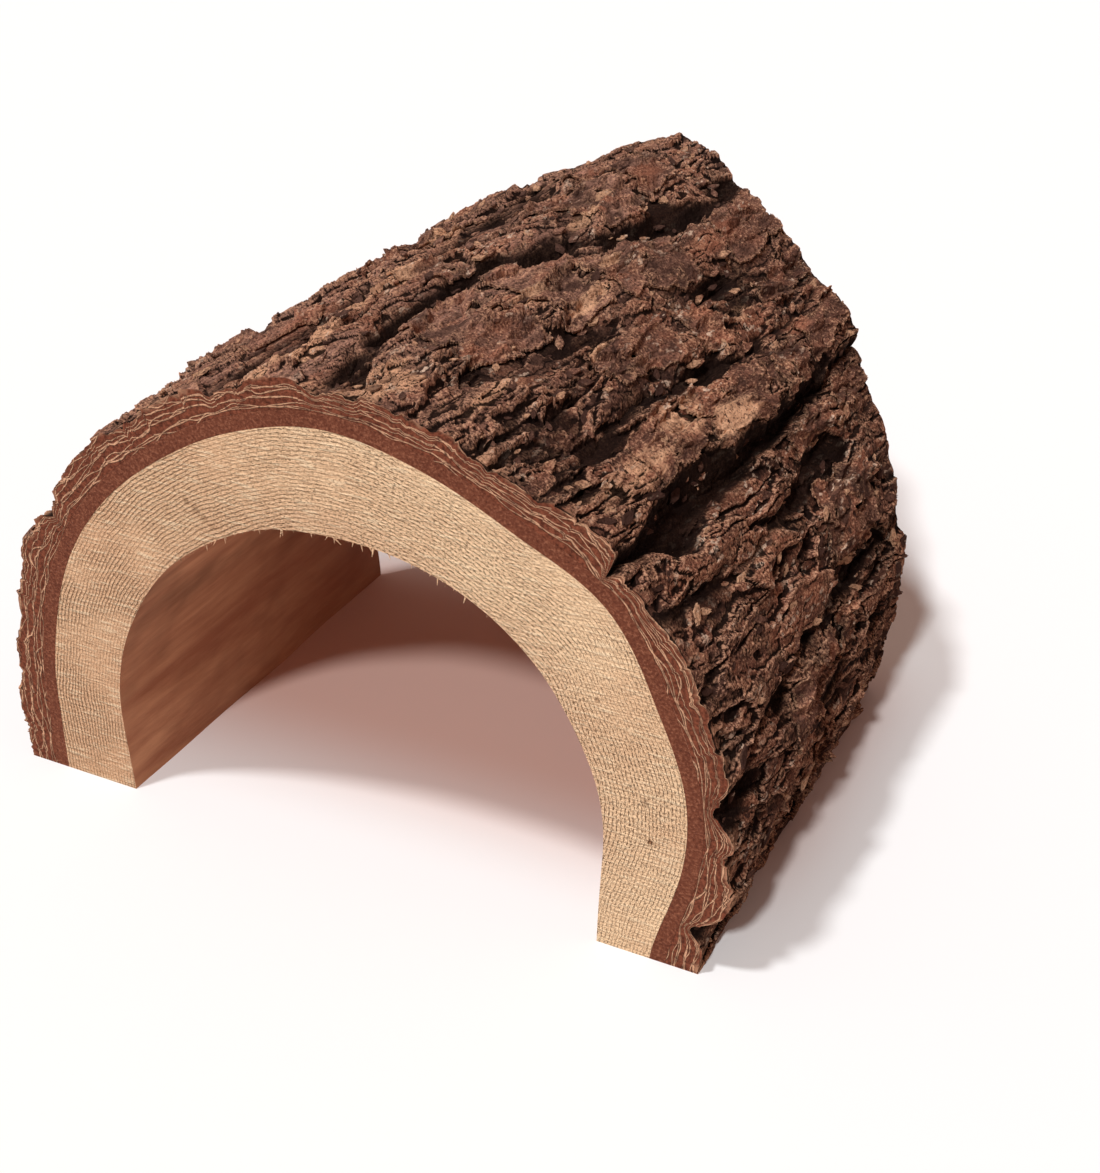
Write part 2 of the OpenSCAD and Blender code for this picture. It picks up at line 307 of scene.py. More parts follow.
def end_grain_material():
    """Sawn end grain: close growth rings along the bark, broken to dashes by the marks of the saw."""
    made, tree, shader = new_material("sawn_end_grain", 0.75)
    ring_gap = 0.00088
    face = place_times(tree)
    depth = stored(tree, "ring_depth")
    along = stored(tree, "ring_run")
    bend = times(tree, noise(tree, face, 60.0, 3.0), 0.0032)
    ring_turn = times(tree, number_of(tree, "ADD", depth, bend), 2 * math.pi / ring_gap)
    late_wood = ramp(tree, number_of(tree, "SINE", ring_turn), 0.3, 1.0)
    cell = output_of(tree, "ShaderNodeCombineXYZ", {
        0: times(tree, along, 1550.0), 1: times(tree, depth, 4300.0)})
    dashes = noise(tree, cell, 1.0, 3.0, 0.7)
    saw = noise(tree, place_times(tree, (140, 1, 1500)), 1.0, 3.0)
    clouds = noise(tree, face, 26.0, 4.0)
    wood = mixed(tree, ramp(tree, clouds, 0.35, 0.65), (0.83, 0.545, 0.325, 1), (0.95, 0.675, 0.415, 1))
    sideways = coordinate(tree, face, 0)
    ruddy_leg = times(tree, ramp(tree, sideways, 0.0, -0.06), 0.65)
    wood = mixed(tree, ruddy_leg, wood, (0.68, 0.385, 0.220, 1))
    near_hollow = ramp(tree, depth, 0.013, 0.022)
    wood = laid_over(tree, wood, near_hollow, 0.35, (0.62, 0.35, 0.21, 1))
    broken = ramp(tree, dashes, 0.49, 0.54)
    speck = times(tree, ramp(tree, dashes, 0.56, 0.66), 0.7)
    steady = times(tree, ramp(tree, sideways, 0.015, -0.03), 0.45)
    unbroken = number_of(tree, "MAXIMUM", broken, steady)
    ring = times(tree, late_wood, times_plus(tree, unbroken, 0.85, 0.05))
    ring = number_of(tree, "MAXIMUM", ring, speck)
    plain = noise(tree, face, 48.0, 2.0)
    ring = times(tree, ring, times_plus(tree, ramp(tree, plain, 0.35, 0.6), 0.7, 0.3))
    wood = mixed(tree, ring, wood, (0.16, 0.066, 0.025, 1))
    polish = times(tree, ramp(tree, saw, 0.52, 0.66), 0.55)
    wood = mixed(tree, polish, wood, (0.98, 0.79, 0.53, 1))
    pores = noise(tree, face, 2400.0, 2.0)
    wood = laid_over(tree, wood, ramp(tree, pores, 0.54, 0.68), 0.45, (0.36, 0.175, 0.085, 1))
    wood = laid_over(tree, wood, ramp(tree, pores, 0.46, 0.32), 0.40, (0.98, 0.76, 0.52, 1))
    knots = ((0.0705, 0.0397, 0.0010, 0.45), (0.0718, 0.0304, 0.0006, 0.9), (0.0600, 0.0609, 0.0007, 0.5),
             (-0.0335, 0.0826, 0.0008, 0.45), (-0.0315, 0.0810, 0.0010, 0.45),
             (-0.0295, 0.0795, 0.0009, 0.4), (-0.0276, 0.0779, 0.0007, 0.4))
    for x, z, radius, strength in knots:
        away = vector_of(tree, "DISTANCE", face, (x, -log_length / 2, z))
        spot = ramp(tree, away, radius * 1.3, radius * 0.5)
        wood = laid_over(tree, wood, spot, strength, (0.20, 0.085, 0.035, 1))
    height = number_of(tree, "SUBTRACT", saw, times(tree, ring, 0.8))
    dress(tree, shader, wood, height, 0.0008)
    return made


def hollow_material():
    """Long grain of the hollow and of the feet: smooth, warm, streaked, a little stained, and darker further
    in as painted shade.
    """
    made, tree, shader = new_material("hollow_long_grain", 0.6)
    mask, height = fibres(tree, place_times(tree, (1, 0.12, 1)), 190.0, 3.0)
    stain = noise(tree, place_times(tree, (1, 0.5, 0.8)), 30.0, 4.0)
    wood = mixed(tree, mask, (0.47, 0.185, 0.098, 1), (0.76, 0.380, 0.208, 1))
    wood = mixed(tree, ramp(tree, stain, 0.48, 0.70), wood, (0.27, 0.115, 0.06, 1))
    inward = coordinate(tree, place_times(tree), 1)
    # Painted shade: the hollow's wood darkens towards the rear, where less light reaches.
    painted_shade_further_in = times(tree, ramp(tree, inward, -0.075, 0.02), 0.55)
    wood = mixed(tree, painted_shade_further_in, wood, (0.29, 0.085, 0.043, 1))
    dress(tree, shader, wood, height, 0.0004)
    return made


def new_tree(name, sizes, materials):
    """Geometry Nodes tree with named sizes and materials as inputs."""
    tree = bpy.data.node_groups.new(name, "GeometryNodeTree")
    tree.interface.new_socket("Geometry", in_out="INPUT", socket_type="NodeSocketGeometry")
    for label, value in sizes.items():
        tree.interface.new_socket(label, in_out="INPUT", socket_type="NodeSocketFloat").default_value = value
    for label in materials:
        tree.interface.new_socket(label, in_out="INPUT", socket_type="NodeSocketMaterial")
    tree.interface.new_socket("Geometry", in_out="OUTPUT", socket_type="NodeSocketGeometry")
    return tree, add_node(tree, "NodeGroupInput").outputs


def kept(tree, name, kind="FLOAT"):
    """Attribute of the geometry, inside a Geometry Nodes tree."""
    return output_of(tree, "GeometryNodeInputNamedAttribute", {"Name": name}, data_type=kind)


def keep(tree, geometry, name, value, domain="POINT"):
    """Stores a number on every point or instance, inside a Geometry Nodes tree."""
    inputs = {"Geometry": geometry, "Name": name, "Value": value}
    settings = {"data_type": "FLOAT", "domain": domain}
    return output_of(tree, "GeometryNodeStoreNamedAttribute", inputs, **settings)


def painted(tree, geometry, material, selection=True):
    """Sets a material on the selected faces, inside a Geometry Nodes tree."""
    inputs = {"Geometry": geometry, "Material": material, "Selection": selection}
    return output_of(tree, "GeometryNodeSetMaterial", inputs)


def joined(tree, first, second):
    """Two geometries as one, inside a Geometry Nodes tree."""
    both = add_node(tree, "GeometryNodeJoinGeometry", {0: first})
    tree.links.new(second, both.inputs[0])
    return both.outputs[0]


def random_number(tree, seed, low=0.0, high=1.0):
    """Random number for each point."""
    inputs = {2: low, 3: high, "Seed": seed}
    return add_node(tree, "FunctionNodeRandomValue", inputs, data_type="FLOAT").outputs[1]


def random_vector(tree, seed, low, high):
    """Random vector for each point."""
    inputs = {0: low, 1: high, "Seed": seed}
    return output_of(tree, "FunctionNodeRandomValue", inputs, data_type="FLOAT_VECTOR")


def evaluated(mesh, tree, **inputs):
    """Plain mesh that a Geometry Nodes tree makes of another, with its inputs given by name."""
    holder = bpy.data.objects.new("blank", mesh)
    scene.collection.objects.link(holder)
    modifier = holder.modifiers.new("shape", "NODES")
    modifier.node_group = tree
    for socket in tree.interface.items_tree:
        key = socket.name.lower().replace(" ", "_")
        if socket.in_out == "INPUT" and key in inputs:
            modifier[socket.identifier] = inputs[key]
    made = bpy.data.meshes.new_from_object(holder.evaluated_get(bpy.context.evaluated_depsgraph_get()))
    name = mesh.name
    holder.modifiers.remove(modifier)
    bpy.data.objects.remove(holder)
    bpy.data.meshes.remove(mesh)
    made.name = name
    return made


def fringe_tree():
    """Adds thin splinters that hang from the hollow's front edge, where the saw has torn the fibres."""
    tree, given = new_tree("torn_fibres", {"Shortest": 0.0004, "Longest": 0.0022}, ["End Grain"])
    torn = add_node(tree, "GeometryNodeMeshToPoints", {0: given[0], "Selection": kept(tree, "torn")})
    shift = random_vector(tree, 4, (-0.0005, 0, -0.0001), (0.0005, 0.0004, 0.0003))
    torn = add_node(tree, "GeometryNodeSetPosition", {"Geometry": torn.outputs[0], "Offset": shift})
    splinter = output_of(tree, "GeometryNodeMeshCone", {
        "Vertices": 4, "Radius Top": 0.02, "Radius Bottom": 0.13, "Depth": 1.0})
    turn = random_vector(tree, 5, (math.pi - 0.15, -1.0, -3), (math.pi + 0.15, 0.5, 3))
    few_long = number_of(tree, "POWER", random_number(tree, 6), 5.0)
    range_of_sizes = number_of(tree, "SUBTRACT", given["Longest"], given["Shortest"])
    size = times_plus(tree, few_long, range_of_sizes, given["Shortest"])
    hung = output_of(tree, "GeometryNodeInstanceOnPoints", {
        "Points": torn.outputs[0], "Instance": splinter, "Rotation": turn, "Scale": size})
    hung = output_of(tree, "GeometryNodeRealizeInstances", {0: hung})
    hung = painted(tree, hung, given["End Grain"])
    add_node(tree, "NodeGroupOutput", {0: joined(tree, hung, given[0])})
    return tree


def finish_piece(mesh, node, materials=()):
    """Puts a mesh in the scene as the piece that stands for one solid of the model."""
    for made in materials:
        mesh.materials.append(made)
    piece = bpy.data.objects.new(mesh.name, mesh)
    scene.collection.objects.link(piece)
    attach(piece, "root")
    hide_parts(node)


wood_turn, wood_share = np.meshgrid(arch_turns, np.linspace(0, 1, 70))
carving = np.sin(wood_turn / 7 + 3 * np.sin(wood_share * 5)) * np.sin(wood_share * math.pi)
hollow_line = hollow_at(wood_turn) + carving_depth * carving
wood_mesh = layer_mesh("sapwood_arch", log_points(wood_turn, wood_at(wood_turn), wood_share),
                       log_points(wood_turn, hollow_line, wood_share))
wood_run = np.radians(wood_turn).ravel() * hollow_radius
give(wood_mesh, "ring_depth", np.concatenate([0 * wood_run, (wood_at(wood_turn) - hollow_line).ravel()]))
give(wood_mesh, "ring_run", np.concatenate([wood_run, wood_run]))
front_edge = (wood_share == 0) & (wood_turn > torn_from) & (wood_turn < torn_to)
give(wood_mesh, "torn", np.concatenate([np.zeros(wood_turn.size), front_edge.ravel()]))
end_grain = end_grain_material()
for finish in (hollow_material(), end_grain):
    wood_mesh.materials.append(finish)
finish_piece(evaluated(wood_mesh, fringe_tree(), end_grain=end_grain), "wood_arch")


# Inner bark. The living layer has dried to an even, dark red-brown band round the wood, a few
# millimetres thick. It is grown onto the wood and shows at the saw cuts and down in the clefts.
inner_bark = 0.0035
bond = 0.00005


def inner_bark_at(turn):
    """Radius of the inner bark's outer face."""
    return wood_at(turn) + inner_bark


def inner_bark_material():
    """Dry, granular, red-brown bast."""
    made, tree, shader = new_material("dried_inner_bark", 0.85)
    grains = noise(tree, place_times(tree, (1, 0.4, 1)), 1500.0, 4.0, 0.7)
    clouds = noise(tree, place_times(tree), 90.0)
    bast = mixed(tree, clouds, (0.125, 0.034, 0.018, 1), (0.215, 0.066, 0.035, 1))
    bast = mixed(tree, ramp(tree, grains, 0.45, 0.70), bast, (0.34, 0.128, 0.070, 1))
    bast = laid_over(tree, bast, ramp(tree, grains, 0.45, 0.30), 0.6, (0.060, 0.016, 0.009, 1))
    dress(tree, shader, bast, grains, 0.0006)
    return made


band_turn, band_share = np.meshgrid(arch_turns, np.linspace(0, 1, 40))
band_mesh = layer_mesh("inner_bark_band", log_points(band_turn, inner_bark_at(band_turn), band_share),
                       log_points(band_turn, wood_at(band_turn) + bond, band_share))
bast_finish = inner_bark_material()
finish_piece(band_mesh, "inner_bark", [bast_finish, bast_finish])


# Outer bark. Dead bark has split into ridges that run along the log, with ragged furrows between them.
# Each ridge has weathered to stepped plates and scales, and its sawn ends show the layers as pale lines.
furrows = ((7, 5, 10, 10), (16, 21, 20, 20), (41, 37, 38, 37), (48, 46, 45, 45), (60, 60, 55, 54),
           (77, 71, 65, 63), (91, 92, 79, 75), (107, 104, 100, 103), (125, 122, 126, 124),
           (146, 149, 145, 148), (167, 163, 166, 168))
furrow_stray = (4, 0.5, -1, 0, -1.4, 1, 1.5, -1, 1, 2, -0.5, 0.5, 2.5)
ridge_stray = (0, -0.5, -0.5, -2.5, 1, -1, -1.5, -1.3, -0.3, -0.3, 1, 0.5)
furrow_opening = (0.5, 0.45, 0.6, 0.35, 0.95, 0.45, 0.3, 0.55, 0.35, 0.4, 0.4, 0.5, 0.5)
ridge_nodes = ("right_foot_bark", "right_wall_bark", "right_flank_bark", "right_cleft_bark",
               "right_shoulder_bark", "right_upper_bark", "crown_right_bark", "crown_left_bark",
               "left_upper_bark", "left_shoulder_bark", "left_wall_bark", "left_foot_bark")
ridge_thickness = 0.0075
furrow_thickness = 0.003
ridge_swell = 0.0015
ridge_squareness = 5
cleft = 0.00002
bark_cell = 0.00028
bark_radius = 0.088
least_thickness = 0.0015
least_weathered = 0.0004
calm_by_saw_cuts = 0.003
# Forms of the relief, as widths and lengths, and their heights
swell_cell = (0.0150, 0.042)
swell_height = 0.0072
plate_cell = (0.0085, 0.021)
plate_step = 0.0017
plate_height = 0.0018
leaf_cell = (0.0085, 0.0190)
leaf_thickness = 0.0004
scale_cell = (0.0046, 0.0084)
scale_height = 0.0011
flakelet_cell = (0.0022, 0.0038)
crumb_cell = (0.0012, 0.0019)
crumb_height = 0.00045
rough_cell = (0.014, 0.035)
gap_cell = (0.0066, 0.0115)
gap_depth = 0.0020
crack_cell = (0.0065, 0.055)
crack_depth = 0.0020
open_crack_cell = (0.012, 0.04)
# Pockets where the bark has fallen out, and last two notches in the front edge:
# millimetres from the front, degrees, half length and width, depth
pockets = ((70, 91.5, 11, 3.2, 5), (86, 87, 12, 3.2, 5), (106, 81, 7, 3, 4), (121, 78.5, 10, 3.6, 5),
           (158, 77.5, 10, 3.4, 4), (133, 94, 4, 2.4, 3), (50, 86, 4, 2, 3), (16, 90.5, 14, 1.8, 3),
           (40, 92, 16, 1.8, 3), (74, 57.3, 8, 3, 4.5), (60, 61.5, 4, 2, 3), (108, 66, 11, 2.4, 3.5),
           (32, 47.5, 20, 4.2, 5), (25, 44, 6, 2.6, 3.5), (75, 45.5, 22, 2.2, 3.5), (65, 36.2, 7, 2, 3),
           (50, 33, 7, 1.6, 3), (90, 39, 7, 2, 3), (112, 29, 9, 2.2, 3), (78, 22, 9, 3.2, 4),
           (33, 18, 4, 3, 4), (9, 14.5, 11, 2.4, 3), (71, 5.3, 10, 2.4, 3), (95, 9, 6, 2, 3),
           (12, 104.5, 4, 3, 3.5), (25, 104, 6, 2, 3), (55, 104, 5, 2, 3), (104, 99, 5, 2, 3),
           (124, 99.5, 5, 2.2, 3), (142, 105, 13, 2, 3), (4, 13, 8, 4.2, 4.5), (1, -9, 6, 3.2, 4.5))
# Fresh tan bark where a scale has just come off: as above, with a strength for the depth
fresh_places = ((62, 50.5, 10, 3.5, 1), (25, 53.5, 18, 5, 0.55), (50, 54.5, 10, 4, 0.6),
                (60, 81, 8, 2, 0.9), (70, 75, 9, 2, 1), (107, 87.5, 6, 2, 1.2), (120, 88, 4, 1.3, 1.2),
                (14, 99, 12, 4, 1.5), (40, 100.5, 24, 2.4, 1.5), (95, 105, 6, 2.5, 0.9),
                (68, 116, 8, 4, 0.9), (18, 73.5, 14, 2.5, 0.6), (55, 69, 5, 1.6, 0.8),
                (8, 84, 8, 6, 0.5), (90, 78, 6, 1.5, 0.7), (104, 60, 8, 2, 0.6))
# Smooth reddish plates, whose outer scales are all gone: as above
smooth_places = ((125, 70.5, 20, 4, 1), (103, 57, 11, 5, 0.9), (58, 27, 10, 4, 1), (91, 63.5, 7, 4, 1),
                 (112, 53, 7, 3, 0.9), (142, 87, 15, 5, 0.8), (30, 72, 6, 2.5, 1), (50, 54.5, 14, 5, 0.9),
                 (25, 54, 16, 5, 0.8), (35, 27, 6, 4, 0.7), (110, 93, 14, 4, 0.6), (40, 107, 22, 5, 0.7))


def wander(seed, distance, wavelength):
    """Irregular number from about -1 to 1 along a distance, its own for each seed."""
    total = 0
    for level, phase in enumerate(np.random.default_rng(seed).uniform(0, 2 * math.pi, 5)):
        total = total + np.sin(distance * 2 * math.pi / wavelength * 1.8 ** level + phase) / 1.45 ** level
    return total / 2


def furrow_at(number, share):
    """Turn of a furrow along the log, or of the ground beyond the last one."""
    if number < 0:
        return np.full_like(share, -foot_turn)
    if number >= len(furrows):
        return np.full_like(share, 180 + foot_turn)
    return curve_through(furrows[number], 3 * share) + 0.8 * wander(number, share, 0.22)


def furrow_floor(number, share):
    """Thickness of the bark in a furrow, which opens and closes along the log."""
    beside = (ridge_stray[max(number - 1, 0)], ridge_stray[min(number, len(furrows))])
    closed = ridge_thickness + millimetre * min(beside)
    opened = furrow_thickness + millimetre * furrow_stray[number]
    opening = np.clip(furrow_opening[number] + 0.5 * wander(50 + number, share, 0.5), 0.1, 1)
    opening = opening * (1 - 0.45 * np.clip(share * 8 - 7, 0, 1))
    return closed + opening * (opened - closed)


def bark_run(turn):
    """Distance round the bark from the right spring of the arch."""
    on_leg = np.where(turn < 90, 1, -1) * leg_height * down_the_leg(turn)
    return np.radians(np.clip(turn, 0, 180)) * bark_radius + on_leg


def bell(place, run, along):
    """Bell round a listed place, as high as its last number, that fades out at its half length and width."""
    y, turn, half_length, half_width, height = place
    beside = (run - bark_run(np.float64(turn))) / (half_width * millimetre)
    beyond = (along - y * millimetre) / (half_length * millimetre)
    return height * np.exp(-beside ** 2 - beyond ** 2)


def ridge_surface(number, share, across):
    """Points of a ridge's smooth top and seat, and what the relief and the finish need to know there."""
    half_cleft = math.degrees(cleft / 2 / hollow_radius)
    low = furrow_at(number - 1, share) + (half_cleft if number > 0 else 0)
    high = furrow_at(number, share) - (half_cleft if number < len(furrows) else 0)
    turn = low + across * (high - low)
    floor = (1 - across) * furrow_floor(number, share) + across * furrow_floor(number + 1, share)
    swell = ridge_swell * np.sin(np.radians(np.clip(turn, 0, 180))) * np.sin(math.pi * share)
    crest = np.maximum(ridge_thickness + millimetre * ridge_stray[number] + swell, floor)
    flat = 1 - np.abs(2 * across - 1) ** ridge_squareness
    thickness = floor + flat * (crest - floor)
    seat = log_points(turn, inner_bark_at(turn) + bond, share)
    run = bark_run(turn)
    along = seat[..., 1] + log_length / 2
    thickness = thickness - millimetre * np.sum([bell(place, run, along) for place in pockets], axis=0)
    fresh = np.max([bell(place, run, along) for place in fresh_places], axis=0)
    smooth = np.max([bell(place, run, along) for place in smooth_places], axis=0)
    thickness = np.maximum(thickness, least_thickness)
    top = log_points(turn, inner_bark_at(turn) + bond + thickness, share)
    angle = np.radians(np.clip(turn, 0, 180))
    slope = np.where(top[..., 0] - middle_x > tip_offset, -right_slope, left_slope)
    out = np.stack([np.cos(angle), share * slope * np.cos(angle), np.sin(angle)], axis=-1)
    sheet = np.stack([run, along, 0 * run], axis=-1)
    to_saw_cut = np.minimum(along, cut_length(seat[..., 0] - middle_x) - along)
    relief = (0.35 + 0.65 * flat) * (1 - 0.45 * np.exp(-(to_saw_cut / calm_by_saw_cuts) ** 2))
    known = {"out": out, "sheet": sheet, "thickness": thickness, "sunk": crest - thickness, "relief": relief,
             "fresh": fresh, "smooth": smooth}
    return top, seat, known


def ridge_mesh(number):
    """Smooth ridge, closed by a coarse base, with its sawn ends marked."""
    middle = np.array([0.5])
    first, last = (bark_run(furrow_at(k, middle))[0] for k in (number - 1, number))
    length = cut_length(np.cos(np.clip((first + last) / 2 / bark_radius, 0, math.pi)) * bark_radius)
    rows = int(length / bark_cell)
    cols = int((last - first) / bark_cell)
    share, across = np.meshgrid(np.linspace(0, 1, rows), np.linspace(0, 1, cols), indexing="ij")
    top, seat, known = ridge_surface(number, share, across)
    at = np.arange(rows * cols).reshape(rows, cols)
    front = rows * cols + np.arange(cols)
    rear = front + cols
    right = np.concatenate([front[:1], rear[-1] + 1 + np.arange(rows - 2), rear[:1]])
    left = np.concatenate([front[-1:], right[-2] + 1 + np.arange(rows - 2), rear[-1:]])
    faces = np.concatenate([strip(at[r], at[r + 1]) for r in range(rows - 1)]).tolist()
    faces += strip(at[:, 0], right).tolist() + strip(at[:, -1], left).tolist()
    faces += strip(right[1:-1], left[1:-1]).tolist()
    half = cols // 2
    for line, near, far in ((front, right[1], left[1]), (rear, right[-2], left[-2])):
        faces += [[line[c], line[c + 1], near if c < half else far] for c in range(cols - 1)]
        faces += [[line[half], near, far]]
    sawn = strip(at[0], front).tolist() + strip(at[-1], rear).tolist()

    def with_base(grid, base):
        """Values of the top's points, then of the points round the edge of the base."""
        whole = grid.reshape(rows * cols, -1)
        edges = (base[0], base[-1], base[1:-1, 0], base[1:-1, -1])
        return np.concatenate([whole] + [edge.reshape(-1, whole.shape[1]) for edge in edges])

    mesh = bpy.data.meshes.new(ridge_nodes[number].replace("_bark", "_ridge"))
    mesh.from_pydata(with_base(top, seat).tolist(), [], faces + sawn)
    shell = bmesh.new()
    shell.from_mesh(mesh)
    bmesh.ops.recalc_face_normals(shell, faces=shell.faces)
    shell.to_mesh(mesh)
    shell.free()
    for name, values in known.items():
        whole = with_base(values, 0 * values if name in ("out", "relief") else values)
        give(mesh, name, whole if values.ndim == 3 else whole[:, 0])
    give(mesh, "layer", with_base(np.ones_like(share), np.zeros_like(share))[:, 0])
    is_sawn = np.zeros(len(mesh.polygons), dtype=bool)
    is_sawn[-len(sawn):] = True
    mesh.attributes.new("sawn", "BOOLEAN", "FACE").data.foreach_set("value", is_sawn)
    return mesh


def bark_levels_group():
    """Heights of weathered bark on its unrolled sheet: terraced plates and scales, flakelets and cracks."""
    tree, given = new_group("bark_levels", "GeometryNodeTree", {"Sheet": "Vector"},
                            ("Broad", "Fine", "Tone", "Rim"))
    sheet = given["Sheet"]
    shift = noise_vector(tree, vector_of(tree, "MULTIPLY", sheet, (1, 0.5, 1)), 130.0)
    spiral = times(tree, coordinate(tree, sheet, 1), 0.11)
    spiral = output_of(tree, "ShaderNodeCombineXYZ", {0: spiral})
    warped = vector_of(tree, "ADD", sheet, vector_of(tree, "MULTIPLY", shift, (0.0046, 0.0110, 0)))
    warped = vector_of(tree, "ADD", warped, spiral)
    fray = noise_vector(tree, vector_of(tree, "MULTIPLY", sheet, (1, 0.6, 1)), 480.0, 0.55)
    frayed = vector_of(tree, "ADD", warped, vector_of(tree, "MULTIPLY", fray, (0.0016, 0.0030, 0)))

    def cells(size, offset, place=warped):
        """Warped or frayed place counted in cells of a width and a length."""
        counted = vector_of(tree, "DIVIDE", place, (*size, 1))
        return vector_of(tree, "ADD", counted, (offset, offset, 0))

    def centred(place, detail):
        """Noise round zero."""
        return number_of(tree, "SUBTRACT", noise(tree, place, 1.0, detail, 0.55), 0.5)

    def terraced(height, step):
        """Height in steps with steep risers and curled upper rims, its step number and its rim."""
        steps = number_of(tree, "DIVIDE", height, step)
        level = number_of(tree, "FLOOR", steps)
        part = number_of(tree, "FRACT", steps)
        rim = ramp(tree, part, 0.22, 0.0)
        riser = ramp(tree, part, 0.84, 1.0)
        risen = number_of(tree, "ADD", number_of(tree, "ADD", level, riser), times(tree, rim, 0.3))
        return times(tree, risen, step), level, rim

    def lapped(place, detail, leaves, thickness):
        """Thin leaves that lap over each other: each rises slowly to a free edge and then drops."""
        steps = times(tree, noise(tree, place, 1.0, detail, 0.55), leaves)
        part = number_of(tree, "FRACT", steps)
        edge = times(tree, ramp(tree, part, 0.45, 0.7), ramp(tree, part, 0.95, 0.75))
        lap = times(tree, number_of(tree, "POWER", part, 1.4), ramp(tree, part, 1.0, 0.72))
        return times_plus(tree, lap, thickness, -0.3 * thickness), edge

    def scattered(place):
        """Random number of each scattered cell, and its own height with a tilt."""
        inputs = {"Vector": place, "Scale": 1.0}
        near = add_node(tree, "ShaderNodeTexVoronoi", inputs, voronoi_dimensions="2D").outputs
        chance = add_node(tree, "FunctionNodeSeparateColor", {0: near["Color"]}).outputs[2]
        lean = vector_of(tree, "SUBTRACT", near["Color"], (0.5, 0.5, 0.5))
        away = vector_of(tree, "SUBTRACT", place, near["Position"])
        tilt = times(tree, vector_of(tree, "DOT_PRODUCT", away, lean), 1.6)
        return chance, number_of(tree, "ADD", number_of(tree, "SUBTRACT", chance, 0.5), tilt)

    plate_chance, plate_tilt = scattered(cells(plate_cell, 3.1, frayed))
    broad = times(tree, centred(cells(swell_cell, 7.7, frayed), 2.0), swell_height)
    broad, level, plate_rim = terraced(broad, plate_step)
    broad = times_plus(tree, plate_tilt, plate_height, broad)
    leaves, leaf_rim = lapped(cells(leaf_cell, 13.3, frayed), 1.0, 3.0, leaf_thickness)
    scale_chance, scale_tilt = scattered(cells(scale_cell, 11.3, frayed))
    fine = times_plus(tree, scale_tilt, scale_height, leaves)
    flakelet_chance, flakelet_tilt = scattered(cells(flakelet_cell, 23.9, frayed))
    rough = ramp(tree, centred(cells(rough_cell, 51.7), 2.0), -0.10, 0.10)
    fine = times(tree, fine, times_plus(tree, rough, 0.6, 0.4))
    rough = times_plus(tree, rough, 0.00030, 0.00020)
    fine = times_plus(tree, flakelet_tilt, rough, fine)
    crumb_chance, crumb_tilt = scattered(cells(crumb_cell, 71.9, frayed))
    fine = times_plus(tree, crumb_tilt, crumb_height, fine)
    gap = ramp(tree, centred(cells(gap_cell, 61.3, frayed), 1.0), 0.13, 0.19)
    fine = times_plus(tree, gap, -gap_depth, fine)
    split = number_of(tree, "ABSOLUTE", centred(cells(crack_cell, 31.1), 3.0))
    opening = ramp(tree, centred(cells(open_crack_cell, 41.3), 2.0), -0.08, 0.12)
    crack = times(tree, times(tree, ramp(tree, split, 0.03, 0.0), opening), crack_depth)
    fine = number_of(tree, "SUBTRACT", fine, crack)
    plate_seed = number_of(tree, "ADD", level, times(tree, plate_chance, 37.0))
    plate_tone = output_of(tree, "ShaderNodeTexWhiteNoise", {"W": plate_seed}, noise_dimensions="1D")
    tone = times_plus(tree, flakelet_chance, 0.22, times(tree, scale_chance, 0.25))
    tone = times_plus(tree, crumb_chance, 0.18, tone)
    tone = times_plus(tree, plate_tone, 0.35, tone)
    rim = number_of(tree, "MAXIMUM", plate_rim, times(tree, leaf_rim, 0.7))
    add_node(tree, "NodeGroupOutput", {"Broad": broad, "Fine": fine, "Tone": tone, "Rim": rim})
    return tree


def moved_out(tree, geometry, distance):
    """Moves every point outwards from the log, and along its rear cuts where it lies on them."""
    offset = vector_of(tree, "SCALE", kept(tree, "out", "FLOAT_VECTOR"), distance)
    return output_of(tree, "GeometryNodeSetPosition", {"Geometry": geometry, "Offset": offset})


